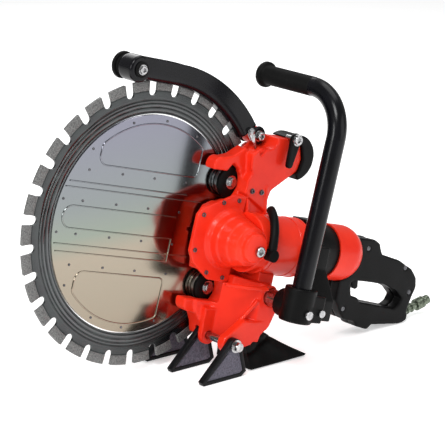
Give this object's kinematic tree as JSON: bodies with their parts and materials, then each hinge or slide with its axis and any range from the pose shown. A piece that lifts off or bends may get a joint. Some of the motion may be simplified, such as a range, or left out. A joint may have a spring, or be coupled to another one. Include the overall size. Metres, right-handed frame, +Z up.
{
  "type": "hydraulic ring saw",
  "caption": "Hand-held hydraulic ring saw for masonry: a ring blade driven at its inner edge, with guards, two handles and folding claws, standing on its claws and rear handle",
  "frame": {"origin": "centre of the footprint on the floor, midway along the bounding box in X and Y", "axes": "+X rearwards from the blade to the rear handle, +Y away from the motor and handles, +Z up; the saw stands pitched nose up by 14.6 degrees on its claws and rear handle"},
  "size_m": [0.6344, 0.1854, 0.3971],
  "materials": {
    "ring_steel": "ground steel with turned grooves",
    "segment_grit": "sintered grit",
    "disc_steel": "bright pressed sheet",
    "spacer_alloy": "plain",
    "rivet_steel": "dull",
    "red_paint": "gloss",
    "screw_steel": "dull",
    "bolt_steel": "bright zinc",
    "arm_paint": "satin black",
    "roller_steel": "hardened",
    "drive_rubber": "worn",
    "gear_steel": "machined",
    "bearing_steel": "polished",
    "motor_black": "satin black",
    "handle_plastic": "fine grain",
    "trigger_plastic": "smooth",
    "coupler_steel": "zinc plated",
    "hose_braid": "braided",
    "hose_rubber": "smooth",
    "tube_paint": "gloss black",
    "grip_rubber": "matt",
    "guard_paint": "gloss black",
    "latch_steel": "satin",
    "cap_plastic": "fine grain",
    "claw_paint": "rough cast, painted rim",
    "splash_rubber": "matt"
  },
  "bodies": {
    "saw_frame": {"near_disc_sheet": "disc_steel", "far_disc_sheet": "disc_steel", "disc_spacer": "spacer_alloy", "disc_rivets": "rivet_steel", "near_casting": "red_paint", "far_casting": "red_paint", "gear_cover": "red_paint", "cover_screws": "screw_steel", "casting_bolts": "bolt_steel", "near_roller_arms": "arm_paint", "far_roller_arms": "arm_paint", "roller_bolts": "bolt_steel", "drive_bearings": "bearing_steel", "motor_bearings": "bearing_steel", "motor_body": "motor_black", "rear_drum": "red_paint", "rear_handle_near": "handle_plastic", "rear_handle_far": "handle_plastic", "handle_screws": "screw_steel", "handle_pins": "bolt_steel", "hose_coupler": "coupler_steel", "braided_hose": "hose_braid", "water_hose": "hose_rubber", "handle_stay": "motor_black", "stub_bar": "bolt_steel", "handle_clamp": "arm_paint", "clamp_bolts": "bolt_steel", "guard_bolt": "bolt_steel", "tension_cap": "cap_plastic", "claw_pins": "bolt_steel", "claw_nuts": "bolt_steel", "splash_guard": "splash_rubber", "motor_drum": "red_paint"},
    "blade": {"ring_blade": "ring_steel", "diamond_segments": "segment_grit"},
    "drive": {"drive_wheel": "drive_rubber", "drive_shaft": "gear_steel", "bevel_gear": "gear_steel"},
    "motor": {"motor_shaft": "gear_steel", "bevel_pinion": "gear_steel", "rotor_gear": "gear_steel"},
    "idler": {"idler_gear": "gear_steel"},
    "upper_rollers": {"upper_near_roller": "roller_steel", "upper_far_roller": "roller_steel"},
    "lower_rollers": {"lower_near_roller": "roller_steel", "lower_far_roller": "roller_steel"},
    "guard": {"blade_guard": "guard_paint", "guard_grip": "grip_rubber", "latch_pin": "bolt_steel"},
    "latch": {"guard_latch": "latch_steel"},
    "lever": {"tension_lever": "cap_plastic"},
    "front_handle": {"front_handle_tube": "tube_paint", "front_grip": "grip_rubber"},
    "near_rest": {"near_claw": "claw_paint"},
    "middle_rest": {"middle_claw": "claw_paint"},
    "far_rest": {"far_claw": "claw_paint"},
    "trigger_lever": {"trigger": "trigger_plastic"},
    "lockout": {"trigger_lock": "trigger_plastic"},
    "spool": {"valve_spool": "bolt_steel"},
    "sleeve": {"coupler_sleeve": "coupler_steel"}
  },
  "joints": [
    {"name": "blade_spin", "type": "hinge", "parent": "saw_frame", "child": "blade", "pos_m": [-0.14227, 0.05575, 0.1881], "axis": [0, 1, 0], "continuous": true},
    {"name": "drive_spin", "type": "hinge", "parent": "saw_frame", "child": "drive", "pos_m": [-0.03582, 0.05575, 0.16037], "axis": [0, 1, 0], "continuous": true},
    {"name": "motor_spin", "type": "hinge", "parent": "saw_frame", "child": "motor", "pos_m": [-0.00679, 0.00775, 0.15281], "axis": [0.9677, 0, -0.2521], "continuous": true},
    {"name": "idler_spin", "type": "hinge", "parent": "saw_frame", "child": "idler", "pos_m": [0.08143, 0.00775, 0.10668], "axis": [0.9677, 0, -0.2521], "continuous": true},
    {"name": "upper_roller_spin", "type": "hinge", "parent": "saw_frame", "child": "upper_rollers", "pos_m": [-0.01356, 0.05575, 0.22355], "axis": [0, 1, 0], "continuous": true},
    {"name": "lower_roller_spin", "type": "hinge", "parent": "saw_frame", "child": "lower_rollers", "pos_m": [-0.04722, 0.05575, 0.09436], "axis": [0, 1, 0], "continuous": true},
    {"name": "guard_swing", "type": "hinge", "parent": "saw_frame", "child": "guard", "pos_m": [0.03143, 0.05575, 0.27575], "axis": [0, 1, 0], "range_deg": [0, 35]},
    {"name": "latch_swing", "type": "hinge", "parent": "guard", "child": "latch", "pos_m": [0.01693, 0.05575, 0.28355], "axis": [0, 1, 0], "range_deg": [0, 40]},
    {"name": "lever_swing", "type": "hinge", "parent": "saw_frame", "child": "lever", "pos_m": [0.06473, 0.05575, 0.27265], "axis": [0, 1, 0], "range_deg": [0, 80]},
    {"name": "handle_turn", "type": "hinge", "parent": "saw_frame", "child": "front_handle", "pos_m": [0.01837, -0.06875, 0.14626], "axis": [0.2521, 0, 0.9677], "range_deg": [-20, 5]},
    {"name": "near_claw_swing", "type": "hinge", "parent": "saw_frame", "child": "near_rest", "pos_m": [-0.06222, 0.05575, 0.04118], "axis": [0, 1, 0], "range_deg": [0, 60]},
    {"name": "middle_claw_swing", "type": "hinge", "parent": "saw_frame", "child": "middle_rest", "pos_m": [-0.06222, 0.05575, 0.04118], "axis": [0, 1, 0], "range_deg": [0, 60]},
    {"name": "far_claw_swing", "type": "hinge", "parent": "saw_frame", "child": "far_rest", "pos_m": [-0.06222, 0.05575, 0.04118], "axis": [0, 1, 0], "range_deg": [0, 60]},
    {"name": "trigger_pull", "type": "hinge", "parent": "saw_frame", "child": "trigger_lever", "pos_m": [0.17052, 0.00775, 0.07976], "axis": [0, 1, 0], "range_deg": [-12, 0]},
    {"name": "lock_press", "type": "hinge", "parent": "saw_frame", "child": "lockout", "pos_m": [0.1997, 0.00775, 0.11246], "axis": [0, 1, 0], "range_deg": [0, 6], "stiffness_Nm_per_rad": 0.25},
    {"name": "spool_stroke", "type": "slide", "parent": "saw_frame", "child": "spool", "axis": [0.9677, 0, -0.2521], "range_m": [0, 0.0026], "stiffness_N_per_m": 1200},
    {"name": "sleeve_pull", "type": "slide", "parent": "saw_frame", "child": "sleeve", "axis": [0.9836, 0, 0.1805], "range_m": [-0.006, 0], "stiffness_N_per_m": 300}
  ],
  "couplings": [
    {"joint": "drive_spin", "follows": "blade_spin", "ratio": 5.4656},
    {"joint": "motor_spin", "follows": "blade_spin", "ratio": 8.1984},
    {"joint": "idler_spin", "follows": "blade_spin", "ratio": -8.1984},
    {"joint": "upper_roller_spin", "follows": "blade_spin", "ratio": 7.6714},
    {"joint": "lower_roller_spin", "follows": "blade_spin", "ratio": 7.6714},
    {"joint": "trigger_pull", "follows": "spool_stroke", "rad_per_m": -80}
  ]
}
